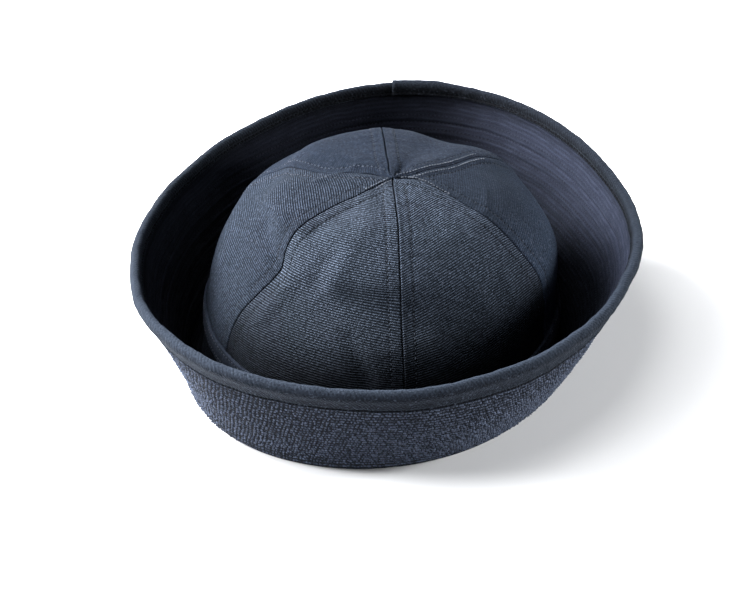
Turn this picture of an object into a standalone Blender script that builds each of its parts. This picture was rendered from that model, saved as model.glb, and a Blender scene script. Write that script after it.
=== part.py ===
# Sailor cap: a crown of six gores, a narrow band over the crown's foot, the brim's inner
# stand that goes down from the foot, and the stitched brim that folds on the surface it rests
# on and is turned up all round, with a binding over its edge.
# Metres, +Z up. The origin is on the resting surface under the middle of the whole cap.
# The front is -Y and the join in the brim's edge binding is at the back, +Y.
# A bearing is an angle round the crown's upright axis from +X, turning towards +Y.

import bpy
import numpy as np

MM = 0.001
CAP_NAME = "sailor_cap"

# Where the crown's upright axis stands, so that the origin is under the middle of the cap
AXIS_PLACE = (2.7 * MM, -3.1 * MM, 0.0)

# Cloth thicknesses and gaps
CROWN_CLOTH = 1.6 * MM
BAND_CLOTH = 1.2 * MM
BRIM_CLOTH = 2.2 * MM
BINDING_CLOTH = 1.0 * MM
PIECE_GAP = 0.3 * MM
SEAM_GAP = 0.6 * MM

# Crown: outer surface, one row for each level: radii from the axis towards four sides, and
# how much further it reaches towards back right and front left than towards the others.
# Dents and seams push the surface towards the crown's heart.
CROWN_COLUMNS = ("height", "right", "back", "left", "front", "diagonal")
CROWN_ROWS = (
    (25.0, 84.5, 94.5, 94.0, 93.5, 2.0),
    (41.0, 83.0, 95.0, 93.0, 96.0, 3.0),
    (58.0, 82.5, 96.5, 88.0, 88.5, 1.0),
    (72.0, 78.5, 91.0, 76.5, 72.0, -3.5),
    (84.0, 69.5, 77.0, 64.5, 64.0, -1.0),
    (93.0, 57.5, 65.5, 56.5, 52.0, -1.0),
    (100.0, 33.5, 37.0, 32.5, 36.5, -1.0),
    (103.4, 16.0, 17.5, 13.5, 18.0, 0.0),
)
APEX_HEIGHT = 103.5 * MM
APEX_BACK = -6.1 * MM
APEX_HOLE = 0.8 * MM
CROWN_HEART = (0.0, 0.0, 42.0 * MM)

# Seams between the gores, and how far they lie below the cloth on both sides
SEAM_BEARINGS = {
    "back_right": 28.0,
    "back": 89.0,
    "back_left": 151.0,
    "front_left": 210.5,
    "front": 268.5,
    "front_right": 327.5,
}
SEAM_DEPTH = 1.2 * MM
SEAM_SHARPNESS = 6
SEAM_FADE_WIDTH = 40.0 * MM
GORES = (
    ("crown_panel_right", "front_right", "back_right"),
    ("crown_panel_back_right", "back_right", "back"),
    ("crown_panel_back_left", "back", "back_left"),
    ("crown_panel_left", "back_left", "front_left"),
    ("crown_panel_front_left", "front_left", "front"),
    ("crown_panel_front_right", "front", "front_right"),
)
GORE_COLUMNS = 10
GORE_LEVELS = 13
FOOT_LEVELS = (0.0, 0.4)

# Dents and swells of the crown: middle, reach each way, and depth (positive is inwards)
DENT_COLUMNS = ("bearing", "height", "reach_round", "reach_up", "depth")
DENT_ROWS = (
    (150.0, 94.0, 11.0, 9.0, 3.0),
    (62.0, 92.0, 13.0, 12.0, 2.5),
    (36.0, 88.0, 12.0, 12.0, -2.5),
    (300.0, 60.0, 14.0, 26.0, 1.5),
    (240.0, 62.0, 12.0, 26.0, 1.2),
    (190.0, 55.0, 13.0, 22.0, 2.5),
    (126.0, 96.0, 11.0, 7.0, -1.0),
)

# Band round the crown's foot
BAND_BOTTOM = 23.0 * MM
BAND_TOP = 33.0 * MM

# Brim: outer surface of the wall, one row for each bearing. base is its reach just above the
# fold, edge and height place the top, belly is how far the wall's middle stands out from a
# straight line.
BRIM_COLUMNS = ("bearing", "base", "edge", "height", "belly")
BRIM_ROWS = (
    (0.0, 93.5, 121.5, 72.5, 3.0),
    (30.0, 99.0, 127.0, 73.0, 3.0),
    (60.0, 104.5, 141.5, 73.5, 3.0),
    (90.0, 102.0, 140.0, 74.0, 3.0),
    (120.0, 99.0, 123.5, 73.5, 2.0),
    (150.0, 99.5, 117.0, 73.5, 1.0),
    (180.0, 103.0, 124.0, 72.5, -2.0),
    (210.0, 109.5, 137.5, 71.5, -0.5),
    (240.0, 107.5, 140.5, 71.0, 1.5),
    (270.0, 99.5, 134.5, 70.0, 3.0),
    (300.0, 92.5, 126.0, 69.5, 4.5),
    (330.0, 90.5, 122.0, 71.5, 1.5),
)
STAND_COLUMNS = ("height", "share_of_way_out")
STAND_ROWS = ((24.3, 0.0), (18.0, 0.15), (12.0, 0.65), (7.5, 1.0), (4.8, 1.0))
FOLD_FLAT = 2.4 * MM
FOLD_ROUND = 3.2 * MM
FOLD_TOP = 4.5 * MM
FOLD_INNER_ARC = (0.0, 45.0, 90.0)
FOLD_OUTER_ARC = (90.0, 55.0, 20.0)
WALL_STEPS = (0.18, 0.4, 0.62, 0.82, 1.0)
RING_COLUMNS = 72

# Binding over the brim's edge: widths of its legs, and the place and gap of its join
BINDING_OUTER_LEG = 12.0 * MM
BINDING_INNER_LEG = 4.0 * MM
BINDING_ROLL = (90.0, 45.0, 0.0, -45.0, -90.0)
BINDING_JOIN_BEARING = 85.0
BINDING_JOIN_GAP = 0.4 * MM

NAVY = (0.030, 0.038, 0.062, 1.0)
DARK_NAVY = (0.020, 0.027, 0.046, 1.0)


# One named column of a table, in metres
def column(names, rows, name):
    return np.array([row[names.index(name)] for row in rows]) * MM


# Smooth closed curve through values given at evenly spaced bearings, as a sum of waves
def round_curve(values, bearings):
    waves = np.fft.rfft(values) / len(values)
    turns = np.arange(len(waves))
    weights = np.where((turns == 0) | (2 * turns == len(values)), 1.0, 2.0)
    phase = np.multiply.outer(np.radians(bearings), turns)
    return np.cos(phase) @ (waves.real * weights) - np.sin(phase) @ (waves.imag * weights)


# Smooth curve through values at knots: cubics whose slopes come from the neighbouring knots
def curve_through(knots, values, at):
    slopes = np.gradient(values, knots, axis=0)
    index = np.clip(np.searchsorted(knots, at) - 1, 0, len(knots) - 2)
    span = knots[index + 1] - knots[index]
    part = (at - knots[index]) / span
    shape = (-1,) + (1,) * (np.ndim(values) - 1)
    part, span = part.reshape(shape), span.reshape(shape)
    rise = values[index + 1] - values[index]
    start, end = slopes[index] * span - rise, rise - slopes[index + 1] * span
    return values[index] + part * rise + part * (1 - part) * ((1 - part) * start + part * end)


# Radius of a ring made of four quarter ellipses, from its reach towards the four sides
def quarter_ellipses(right, back, left, front, bearings):
    angle = np.radians(bearings)
    across = np.where(np.cos(angle) >= 0, right, left)
    along = np.where(np.sin(angle) >= 0, back, front)
    return 1 / np.hypot(np.cos(angle) / across, np.sin(angle) / along)


# How far the crown's dents push its surface inwards at each place
def dent_depth(bearings, heights):
    depth = np.zeros(np.broadcast(bearings, heights).shape)
    for bearing, height, reach_round, reach_up, amount in DENT_ROWS:
        turn = (bearings - bearing + 180) % 360 - 180
        climb = heights / MM - height
        depth += amount * MM * np.exp(-(turn / reach_round) ** 2 - (climb / reach_up) ** 2)
    return depth


# Points of the crown's outer surface at each bearing and each level from foot 0 to apex 1.
# The rows of the table are joined by smooth curves, evenly spaced by their length.
def crown_points(bearings, levels):
    heights = column(CROWN_COLUMNS, CROWN_ROWS, "height")
    diagonals = column(CROWN_COLUMNS, CROWN_ROWS, "diagonal")
    sides = [column(CROWN_COLUMNS, CROWN_ROWS, side) for side in ("right", "back", "left", "front")]
    rings = []
    for row, height in enumerate(heights):
        angle = np.radians(bearings)
        radius = quarter_ellipses(*[side[row] for side in sides], bearings)
        radius = radius + diagonals[row] * np.sin(2 * angle)
        shift = APEX_BACK * row / len(heights)
        rings.append(np.stack([radius * np.cos(angle), radius * np.sin(angle) + shift,
                               np.full_like(radius, height)], axis=-1))
    apex = np.zeros_like(rings[0]) + (0.0, APEX_BACK, APEX_HEIGHT)
    rings = np.array(rings + [apex])
    mean_radius = np.append(np.mean(sides, axis=0), 0.0)
    mean_height = np.append(heights, APEX_HEIGHT)
    steps = np.hypot(np.diff(mean_radius), np.diff(mean_height))
    knots = np.append(0.0, np.cumsum(steps)) / steps.sum()
    points = curve_through(knots, rings, np.asarray(levels))
    outward = points - CROWN_HEART
    outward /= np.linalg.norm(outward, axis=-1, keepdims=True)
    return points - outward * dent_depth(bearings[None, :], points[..., 2])[..., None]


# Distance of the crown's outer surface from the axis at given heights near its foot
def crown_foot_radius(heights, bearings):
    points = crown_points(bearings, np.linspace(*FOOT_LEVELS, 2 * GORE_LEVELS))
    radii = np.hypot(points[..., 0], points[..., 1])
    lines = range(len(bearings))
    return np.array([[np.interp(height, points[:, i, 2], radii[:, i]) for i in lines] for height in heights])


# Gore between two seams: it keeps clear of both seams by half the gap and dips beside them
def gore_points(first_seam, last_seam):
    start = SEAM_BEARINGS[first_seam]
    sweep = (SEAM_BEARINGS[last_seam] - start) % 360
    share = np.linspace(0, 1, GORE_COLUMNS + 1)
    bearings = start + sweep * share
    levels = np.linspace(0, 1, GORE_LEVELS + 1)
    levels[-1] = 1 - APEX_HOLE / APEX_HEIGHT
    points = crown_points(bearings, levels)
    across = np.diff(points, axis=1)
    across /= np.maximum(np.linalg.norm(across, axis=-1, keepdims=True), 1e-9)
    points[:, 0] += across[:, 0] * SEAM_GAP / 2
    points[:, -1] -= across[:, -1] * SEAM_GAP / 2
    inward = CROWN_HEART - points
    inward /= np.linalg.norm(inward, axis=-1, keepdims=True)
    width = np.linalg.norm(points[:, 0] - points[:, -1], axis=-1)
    fade = np.clip(width / SEAM_FADE_WIDTH, 0, 1)[:, None]
    dip = SEAM_DEPTH * fade * np.abs(2 * share - 1)[None, :] ** SEAM_SHARPNESS
    return points + inward * dip[..., None]


# Inner side of the brim's stand in section, from under the crown down to the fold
def stand_section(bearings):
    foot = crown_points(bearings, [0.0])[0]
    stand = np.hypot(foot[:, 0], foot[:, 1]) - BRIM_CLOTH
    fold = brim_section(bearings)[0][0]
    radii = [stand + (fold - stand) * share for _, share in STAND_ROWS]
    heights = [height * MM + 0 * stand for height, _ in STAND_ROWS]
    return np.array(radii), np.array(heights)


# Outer surface of the brim in section, as radius and height for each bearing: round the
# fold with its flat, and up the wall
def brim_section(bearings):
    base, edge, height, belly = [round_curve(column(BRIM_COLUMNS, BRIM_ROWS, name), bearings)
                                 for name in BRIM_COLUMNS[1:]]
    ones = np.ones_like(base)
    radii, heights = [base - 2 * FOLD_ROUND - FOLD_FLAT], [FOLD_TOP * ones]
    for angle in np.radians(FOLD_INNER_ARC):
        radii.append(base - FOLD_ROUND - FOLD_FLAT - FOLD_ROUND * np.cos(angle))
        heights.append(FOLD_ROUND * (1 - np.sin(angle)) * ones)
    for angle in np.radians(FOLD_OUTER_ARC):
        radii.append(base - FOLD_ROUND + FOLD_ROUND * np.cos(angle))
        heights.append(FOLD_ROUND * (1 - np.sin(angle)) * ones)
    for step in WALL_STEPS:
        radii.append(base + (edge - base) * step + 4 * belly * step * (1 - step))
        heights.append(FOLD_ROUND + (height - FOLD_ROUND) * step)
    return np.array(radii), np.array(heights)


# Points in space of sections given by radius and height at each bearing
def place_sections(radii, heights, bearings):
    angle = np.radians(bearings)
    return np.stack([radii * np.cos(angle), radii * np.sin(angle), heights + 0 * radii], axis=-1)


# Places on the brim's wall at a distance below its edge, moved out from its outer surface,
# with the wall's direction there as its rise and its lean outwards
def wall_points(distance, offset, bearings):
    radii, heights = brim_section(bearings)
    run = np.hypot(radii[-1] - radii[-4], heights[-1] - heights[-4])
    step = WALL_STEPS[-1] - distance / run * (WALL_STEPS[-1] - WALL_STEPS[-4])
    first = len(radii) - len(WALL_STEPS)
    knots = np.array(WALL_STEPS)
    radius = np.array([np.interp(s, knots, radii[first:, i]) for i, s in enumerate(step)])
    height = np.array([np.interp(s, knots, heights[first:, i]) for i, s in enumerate(step)])
    part = np.clip(np.searchsorted(knots, step - 1e-9), 1, len(knots) - 1) + first
    each = np.arange(len(bearings))
    rise = heights[part, each] - heights[part - 1, each]
    lean = radii[part, each] - radii[part - 1, each]
    length = np.hypot(rise, lean)
    rise, lean = rise / length, lean / length
    return radius + offset * rise, height - offset * lean, rise, lean


# Outer surface of the binding in section: up the outer leg, over the edge, down the inner leg
def binding_section(bearings):
    reach = PIECE_GAP + BINDING_CLOTH
    radii, heights = [], []
    for distance in (BINDING_OUTER_LEG, BINDING_OUTER_LEG / 2):
        radius, height, _, _ = wall_points(distance, reach, bearings)
        radii.append(radius)
        heights.append(height)
    radius, height, rise, lean = wall_points(0.0, -BRIM_CLOTH / 2, bearings)
    roll = BRIM_CLOTH / 2 + reach
    for angle in np.radians(BINDING_ROLL):
        out, up = roll * np.sin(angle), roll * np.cos(angle) + PIECE_GAP
        radii.append(radius + out * rise + up * lean)
        heights.append(height - out * lean + up * rise)
    radius, height, _, _ = wall_points(BINDING_INNER_LEG, -BRIM_CLOTH - reach, bearings)
    radii.append(radius)
    heights.append(height)
    return np.array(radii), np.array(heights)


# Fabric material with the cloth's colour
def cloth_material(name, colour, roughness):
    material = bpy.data.materials.new(name)
    material.use_nodes = True
    shader = material.node_tree.nodes["Principled BSDF"]
    shader.inputs["Base Color"].default_value = colour
    shader.inputs["Roughness"].default_value = roughness
    shader.inputs["Metallic"].default_value = 0.0
    material.diffuse_color = colour
    return material


# Cloth piece: a grid of points, open or closed round, made thick towards its inner side
def cloth_piece(name, points, thickness, material, collection, closed=False):
    rows, columns = points.shape[:2]
    index = np.arange(rows * columns).reshape(rows, columns)
    if closed:
        index = np.concatenate([index, index[:, :1]], axis=1)
    faces = np.stack([index[:-1, :-1], index[:-1, 1:], index[1:, 1:], index[1:, :-1]], axis=-1)
    mesh = bpy.data.meshes.new(name)
    mesh.from_pydata(points.reshape(-1, 3).tolist(), [], faces.reshape(-1, 4).tolist())
    mesh.shade_smooth()
    mesh.materials.append(material)
    piece = bpy.data.objects.new(name, mesh)
    piece.location = AXIS_PLACE
    collection.objects.link(piece)
    shell = piece.modifiers.new("cloth_thickness", "SOLIDIFY")
    shell.thickness = thickness
    shell.offset = -1.0
    shell.use_even_offset = True
    return piece


def build_crown(collection):
    for name, first_seam, last_seam in GORES:
        material = cloth_material(name + "_cloth", NAVY, 0.9)
        cloth_piece(name, gore_points(first_seam, last_seam), CROWN_CLOTH, material, collection)


# The band follows the crown's foot just outside it, from below the join to above it
def build_crown_foot_band(collection):
    bearings = np.arange(RING_COLUMNS) * 360 / RING_COLUMNS
    reach = PIECE_GAP + BAND_CLOTH
    rise = np.array([BAND_BOTTOM, (BAND_BOTTOM + BAND_TOP) / 2, BAND_TOP])
    radii = crown_foot_radius(rise, bearings) + reach
    ring = place_sections(radii, rise[:, None], bearings)
    material = cloth_material("crown_foot_band_cloth", DARK_NAVY, 0.9)
    cloth_piece("crown_foot_band", ring, BAND_CLOTH, material, collection, closed=True)


# The stand and the brim are one cloth in the real cap, and meet face to face at the fold
def build_brim(collection):
    bearings = np.arange(RING_COLUMNS) * 360 / RING_COLUMNS
    for name, section in (("brim_inner_stand", stand_section), ("brim", brim_section)):
        ring = place_sections(*section(bearings), bearings)
        material = cloth_material(name + "_cloth", NAVY, 0.9)
        cloth_piece(name, ring, BRIM_CLOTH, material, collection, closed=True)


# The binding goes once round the edge and its ends meet at the back
def build_brim_edge_binding(collection):
    edge = round_curve(column(BRIM_COLUMNS, BRIM_ROWS, "edge"), np.array([BINDING_JOIN_BEARING]))[0]
    half_gap = np.degrees(BINDING_JOIN_GAP / 2 / edge)
    turns = np.linspace(half_gap, 360 - half_gap, RING_COLUMNS + 1)
    bearings = BINDING_JOIN_BEARING + turns
    ring = place_sections(*binding_section(bearings), bearings)
    material = cloth_material("brim_edge_binding_cloth", DARK_NAVY, 0.85)
    cloth_piece("brim_edge_binding", ring, BINDING_CLOTH, material, collection)


def main():
    for old in list(bpy.data.objects):
        bpy.data.objects.remove(old, do_unlink=True)
    collection = bpy.data.collections.new(CAP_NAME)
    bpy.context.scene.collection.children.link(collection)
    build_crown(collection)
    build_crown_foot_band(collection)
    build_brim(collection)
    build_brim_edge_binding(collection)


main()
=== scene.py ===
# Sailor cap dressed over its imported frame: six crown gores, the band over the crown's foot,
# the folded and stitched brim, the binding over its edge, and all their stitches.
# Metres, +Z up, the front is -Y. Bearings turn from +X towards +Y about the crown's axis.
import bpy
import numpy as np
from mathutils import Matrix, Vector


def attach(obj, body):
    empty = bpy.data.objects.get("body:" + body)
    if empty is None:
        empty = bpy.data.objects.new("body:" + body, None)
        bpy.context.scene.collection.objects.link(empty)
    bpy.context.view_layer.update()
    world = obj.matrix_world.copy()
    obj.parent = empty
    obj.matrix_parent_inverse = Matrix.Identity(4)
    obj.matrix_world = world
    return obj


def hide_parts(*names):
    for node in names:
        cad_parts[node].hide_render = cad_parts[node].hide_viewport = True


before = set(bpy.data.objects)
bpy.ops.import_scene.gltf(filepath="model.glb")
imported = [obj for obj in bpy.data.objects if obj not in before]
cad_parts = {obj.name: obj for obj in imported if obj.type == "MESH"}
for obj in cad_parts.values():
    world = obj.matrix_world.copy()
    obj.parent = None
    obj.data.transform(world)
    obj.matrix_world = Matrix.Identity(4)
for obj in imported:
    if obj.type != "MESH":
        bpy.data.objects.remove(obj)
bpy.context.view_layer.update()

mm = 0.001
axisPlace = np.array([2.7, -3.1, 0.0]) * mm  # the crown's upright axis
fullTurn = 2 * np.pi


# Smooth closed curve through values at evenly spaced bearings: the sum of their waves
def roundCurve(values, bearings):
    waves = np.fft.rfft(values) / len(values)
    turns = np.arange(len(waves))
    weights = np.where((turns == 0) | (2 * turns == len(values)), 1.0, 2.0)
    phase = np.multiply.outer(np.radians(bearings), turns)
    return np.cos(phase) @ (waves.real * weights) - np.sin(phase) @ (waves.imag * weights)


# Smooth curve through values at knots: cubics whose slopes are the neighbours' mean slopes.
# Paired values have their own column of knots' values for each place.
def curveThrough(knots, values, at, paired=False):
    slopes = np.gradient(values, knots, axis=0)
    index = np.clip(np.searchsorted(knots, at) - 1, 0, len(knots) - 2)
    span = knots[index + 1] - knots[index]
    part = (at - knots[index]) / span
    pick = np.arange(len(at))
    def read(table, row):
        return table[row, pick] if paired else table[row]
    low, high = read(values, index), read(values, index + 1)
    shape = (-1,) + (1,) * (np.ndim(low) - 1)
    part, span = part.reshape(shape), span.reshape(shape)
    rise = high - low
    start, end = read(slopes, index) * span - rise, rise - read(slopes, index + 1) * span
    return low + part * rise + part * (1 - part) * ((1 - part) * start + part * end)


# Values down each column at the wanted places, straight between the knots of that column
def downColumns(knots, values, at):
    index = (knots[None] <= at[:, None]).sum(axis=1) - 1
    index = np.clip(index, 0, len(knots) - 2)
    low, high = np.take_along_axis(knots, index, 0), np.take_along_axis(knots, index + 1, 0)
    part = (at - low) / np.maximum(high - low, 1e-12)
    first = np.take_along_axis(values, index, 0)
    return first + part * (np.take_along_axis(values, index + 1, 0) - first)


# 0 below the start, 1 above the end, and a smooth cubic between
def smoothStep(start, end, x):
    part = np.clip((x - start) / (end - start), 0, 1)
    return part * part * (3 - 2 * part)


# Soft bell: 1 in the middle, falling with the square of the distance over the width
def bell(x, width):
    return np.exp(-(x / width) ** 2)


# Soft cloudy noise, about -1 to 1: a sum of plane waves in random directions whose lengths
# are near the given one, at points in space
def cloud(points, length, seed):
    random = np.random.default_rng(seed)
    waves = 14
    directions = random.normal(size=(waves, 3))
    directions /= np.linalg.norm(directions, axis=1, keepdims=True)
    pitch = fullTurn / (length * random.uniform(0.7, 1.4, waves))
    phase = points @ (directions * pitch[:, None]).T + random.uniform(0, fullTurn, waves)
    return np.cos(phase).sum(axis=-1) * np.sqrt(0.5 / waves)


# Noise over a ring, about -1 to 1 and the same after a full turn: a sum of waves. Each goes
# round the ring a whole number of times, from least to most, and along it at a random pitch
# that is no shorter than the given length.
def ringNoise(bearings, along, least, most, length, seed, waves=24):
    random = np.random.default_rng(seed)
    total = np.zeros(np.broadcast(bearings, along).shape)
    for turns, pitch, phase in zip(random.integers(least, most + 1, waves),
                                   random.uniform(-1, 1, waves) * fullTurn / length,
                                   random.uniform(0, fullTurn, waves)):
        total += np.cos(np.radians(bearings) * turns + along * pitch + phase)
    return total * np.sqrt(0.5 / waves)


# Turns from a bearing to others, between -180 and 180 degrees
def turnFrom(bearing, bearings):
    return (bearings - bearing + 180) % 360 - 180


# Bearings of the evenly spaced columns of a ring
def evenBearings(columns):
    return np.arange(columns) * 360.0 / columns


# Points of rings about the axis, from their radius, height and bearing
def ringPoints(radius, height, bearings):
    angle = np.radians(bearings)
    return np.stack([radius * np.cos(angle), radius * np.sin(angle), height + 0 * radius], axis=-1)


# Grid with its first column once more at the end
def closeRing(grid):
    return np.concatenate([grid, grid[:, :1]], axis=1)


# Two values for each place of a grid, from two arrays that are spread over the whole grid
def pairUp(first, second):
    return np.stack(np.broadcast_arrays(first, second), axis=-1)


# Sum of the steps up to each place along an axis, from 0
def runningSum(steps, axis=0):
    return np.concatenate([0 * np.take(steps, [0], axis), np.cumsum(steps, axis=axis)], axis=axis)


# Drop of an edge rounded by a quarter circle, at a distance from it: the radius less the
# circle's height there
def edgeDrop(distance, radius):
    part = np.clip(distance / radius, 0, 1)
    return radius * (1 - np.sqrt(np.clip(1 - (1 - part) ** 2, 0, 1)))


# Distance of each point from a bent line through the given places
def lineDistance(points, places):
    nearest = np.full(points.shape[:-1], np.inf)
    for first, second in zip(places[:-1], places[1:]):
        way = second - first
        part = np.clip((points - first) @ way / (way @ way), 0, 1)
        away = np.linalg.norm(points - first - part[..., None] * way, axis=-1)
        nearest = np.minimum(nearest, away)
    return nearest


# Unit normals of a grid of points: the step across its columns times the step up its rows. A
# ring's first and last column are neighbours.
def gridNormals(points, ring=False):
    if ring:
        padded = np.concatenate([points[:, -1:], points, points[:, :1]], axis=1)
        across = padded[:, 2:] - padded[:, :-2]
    else:
        across = np.gradient(points, axis=1)
    normal = np.cross(across, np.gradient(points, axis=0))
    return normal / np.maximum(np.linalg.norm(normal, axis=-1, keepdims=True), 1e-12)


# Quads between neighbouring rows and columns of an index grid, outward when the columns run
# counter-clockwise and the rows run up
def gridFaces(index):
    return np.stack([index[:-1, :-1], index[:-1, 1:], index[1:, 1:], index[1:, :-1]],
                    axis=-1).reshape(-1, 4)


# Object with the given data, placed in the scene
def addObject(name, data):
    thing = bpy.data.objects.new(name, data)
    bpy.context.scene.collection.objects.link(thing)
    return thing


# Mesh of points about the crown's axis, with the places of its faces' corners on its flat maps
def newPiece(name, points, faces, material, maps=None):
    mesh = bpy.data.meshes.new(name)
    mesh.from_pydata((points + axisPlace).tolist(), [], faces)
    for mapName, corners in (maps or {}).items():
        mesh.uv_layers.new(name=mapName).data.foreach_set("uv", corners.ravel())
    mesh.materials.append(material)
    mesh.shade_smooth()
    return addObject(name, mesh)


# Cloth with an outer and an inner grid, closed along its open borders. lie is where each
# grid place lies on the flat cloth, in metres, and sewn is its distance from the nearest
# sewn line and the stitches up to there, outside and inside. A ring's maps have one more
# column than its points.
def shellPiece(name, outer, inner, lie, sewn, material, ring=False):
    rows, columns = outer.shape[:2]
    index = np.arange(rows * columns).reshape(rows, columns)
    place = np.arange(rows * lie.shape[1]).reshape(rows, -1)
    if ring:
        index = closeRing(index)
    back, backPlace = index + rows * columns, place + place.size
    borders = [(index[:1], back[:1], place[:1]), (back[-1:], index[-1:], place[-1:])]
    if not ring:
        borders += [(back[:, :1].T, index[:, :1].T, place[:, :1].T),
                    (index[:, -1:].T, back[:, -1:].T, place[:, -1:].T)]
    faces = [gridFaces(index), gridFaces(back)[:, ::-1]]
    corners = [gridFaces(place), gridFaces(backPlace)[:, ::-1]]
    for first, second, spot in borders:
        faces.append(gridFaces(np.concatenate([second, first])))
        corners.append(gridFaces(np.concatenate([spot, spot])))
    corners = np.concatenate(corners).ravel()
    maps = {"clothLie": np.concatenate([lie.reshape(-1, 2)] * 2)[corners],
            "sewnLie": np.concatenate([part.reshape(-1, 2) for part in sewn])[corners]}
    points = np.concatenate([outer.reshape(-1, 3), inner.reshape(-1, 3)])
    return newPiece(name, points, np.concatenate(faces).tolist(), material, maps)


# Number of stitches up to each point along the rows of a grid, when each row is sewn at
# about the given pitch: the share of the row's length times its whole number of stitches.
# Rows that share a stitch line take the number of the row that countFrom names.
def stitchNumbers(points, pitch, ring=False, countFrom=None):
    if ring:
        points = closeRing(points)
    lengths = runningSum(np.linalg.norm(np.diff(points, axis=1), axis=-1), 1)
    counts = np.maximum(np.round(lengths[:, -1] / pitch), 1)
    if countFrom is not None:
        counts = counts[countFrom]
    return lengths / lengths[:, -1:] * counts[:, None]


# Places along a line of points, as many as the pitch or the count asks for, with the line's
# direction and normal there. They are evenly spaced, or further apart where the stretch that
# is given for each step of the line is larger.
def placesAlong(points, normals, pitch, start=0.5, ring=False, count=None, stretch=1.0):
    if ring:
        points = np.concatenate([points, points[:1]])
        normals = np.concatenate([normals, normals[:1]])
    steps = np.linalg.norm(np.diff(points, axis=0), axis=1)
    lengths, evened = runningSum(steps), runningSum(steps / stretch)
    count = count or max(int(round(lengths[-1] / pitch)), 1)
    at = np.interp((np.arange(count) + start) * evened[-1] / count, evened, lengths)
    def read(values, where):
        return np.stack([np.interp(where, lengths, values[:, i]) for i in range(3)], axis=1)
    nearby = pitch * 0.3
    direction = read(points, at + nearby) - read(points, at - nearby)
    direction /= np.linalg.norm(direction, axis=1, keepdims=True)
    normal = read(normals, at)
    return read(points, at), direction, normal / np.linalg.norm(normal, axis=1, keepdims=True)


# Stitches as slim grains: each is an ellipsoid cut into a few rings, closed by a tip at each
# end that dips into the cloth. All are the same shape, turned to their line, with a random
# share more or less of size, place and slant. In shares of half a stitch, its rings reach
# that far from its middle, its tips dip that deep, and its middle bows that high over its ends.
def stitchPiece(name, places, look, material, ringReach=0.6, tipDip=1.2, bow=0.5, turnShare=0.3):
    centres, along, normals = (np.concatenate(part) for part in zip(*places))
    random = np.random.default_rng(look["seed"])
    size = 1 + look["unevenness"] * random.uniform(-1, 1, (3, len(centres), 1))
    stray = look["stray"] * look["pitch"] * mm * random.uniform(-1, 1, (2, len(centres), 1))
    centres = centres + along * stray[0] + np.cross(normals, along) * stray[1]
    turn = look["slant"] + look["unevenness"] * random.normal(size=(len(centres), 1)) * turnShare
    side = np.cross(normals, along)
    along, side = along + side * turn, side - along * turn
    sides, rings = look["sides"], look["rings"]
    share = np.linspace(-ringReach, ringReach, rings)[:, None]
    angle = np.arange(sides)[None] * fullTurn / sides
    swell = np.sqrt(1 - share ** 2)
    shape = np.stack([share + 0 * angle, swell * np.cos(angle),
                      swell * np.sin(angle) + (1 - share ** 2) * bow - bow / 2], axis=-1)
    shape = np.concatenate([shape.reshape(-1, 3), [(-1, 0, -tipDip), (1, 0, -tipDip)]])
    half = np.array([look["length"], look["width"], look["height"]]) * mm / 2
    frameAxes = np.stack([along * size[0] * half[0], side * size[1] * half[1],
                          normals * size[2] * half[2]], axis=1)
    points = centres[:, None] + normals[:, None] * look["lift"] * mm + shape @ frameAxes
    ring = closeRing(np.arange(rings * sides).reshape(rings, sides))
    quads = gridFaces(ring)[:, ::-1]
    first, last = rings * sides, rings * sides + 1
    caps = np.concatenate([
        np.stack([ring[0, 1:], ring[0, :-1], 0 * ring[0, 1:] + first], axis=1),
        np.stack([ring[-1, :-1], ring[-1, 1:], 0 * ring[-1, 1:] + last], axis=1)])[:, ::-1]
    shift = (np.arange(len(centres)) * len(shape))[:, None, None]
    faces = (quads + shift).reshape(-1, 4).tolist() + (caps + shift).reshape(-1, 3).tolist()
    return newPiece(name, points.reshape(-1, 3), faces, material)


# Shader node of the given kind: its inputs are linked to a socket or set to a value
def addNode(tree, kind, inputs=None, **settings):
    node = tree.nodes.new(kind)
    for name, value in settings.items():
        setattr(node, name, value)
    for socket, value in (inputs or {}).items():
        if isinstance(value, bpy.types.NodeSocket):
            tree.links.new(value, node.inputs[socket])
        else:
            node.inputs[socket].default_value = value
    return node


# One operation on shader values, such as first times second plus third
def maths(tree, operation, first, second=0.0, third=0.0):
    return addNode(tree, "ShaderNodeMath", {0: first, 1: second, 2: third},
                   operation=operation).outputs[0]


# First value times the second
def times(tree, first, second):
    return maths(tree, "MULTIPLY", first, second)


# Cosine of a number of whole turns: 1 at every whole number and -1 half way between
def cosineOfTurns(tree, turns):
    return maths(tree, "COSINE", times(tree, turns, fullTurn))


# 0 up to the low value and 1 from the high one, straight between; low may be the larger
def spread(tree, value, low, high, start=0.0, end=1.0):
    return addNode(tree, "ShaderNodeMapRange", {
        0: value, 1: low, 2: high, 3: start, 4: end}).outputs[0]


# First colour mixed with the second, or multiplied by it, by the given share. A colour is a
# socket, or its red, green and blue.
def blendColour(tree, share, first, second, kind="MIX"):
    first, second = ((*c, 1) if isinstance(c, tuple) else c for c in (first, second))
    return addNode(tree, "ShaderNodeMix", {0: share, 6: first, 7: second},
                   data_type="RGBA", blend_type=kind).outputs[2]


# Smooth noise, about 0 to 1, at a place times the scale; detail adds finer and weaker layers
def noise(tree, vector, scale, detail=2.0, roughness=0.5):
    return addNode(tree, "ShaderNodeTexNoise", {"Vector": vector, "Scale": scale,
                   "Detail": detail, "Roughness": roughness}).outputs["Fac"]


# The axes of a place in space or on a flat map, as single values
def axes(tree, place):
    return addNode(tree, "ShaderNodeSeparateXYZ", {0: place}).outputs


# Shades the surface as if it stood out by the height, which is 0 to 1, times the distance in mm
def raiseSurface(tree, shader, height, strength, distance):
    bump = addNode(tree, "ShaderNodeBump", {
        "Height": height, "Strength": strength, "Distance": distance * mm})
    tree.links.new(bump.outputs[0], shader.inputs["Normal"])


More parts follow.
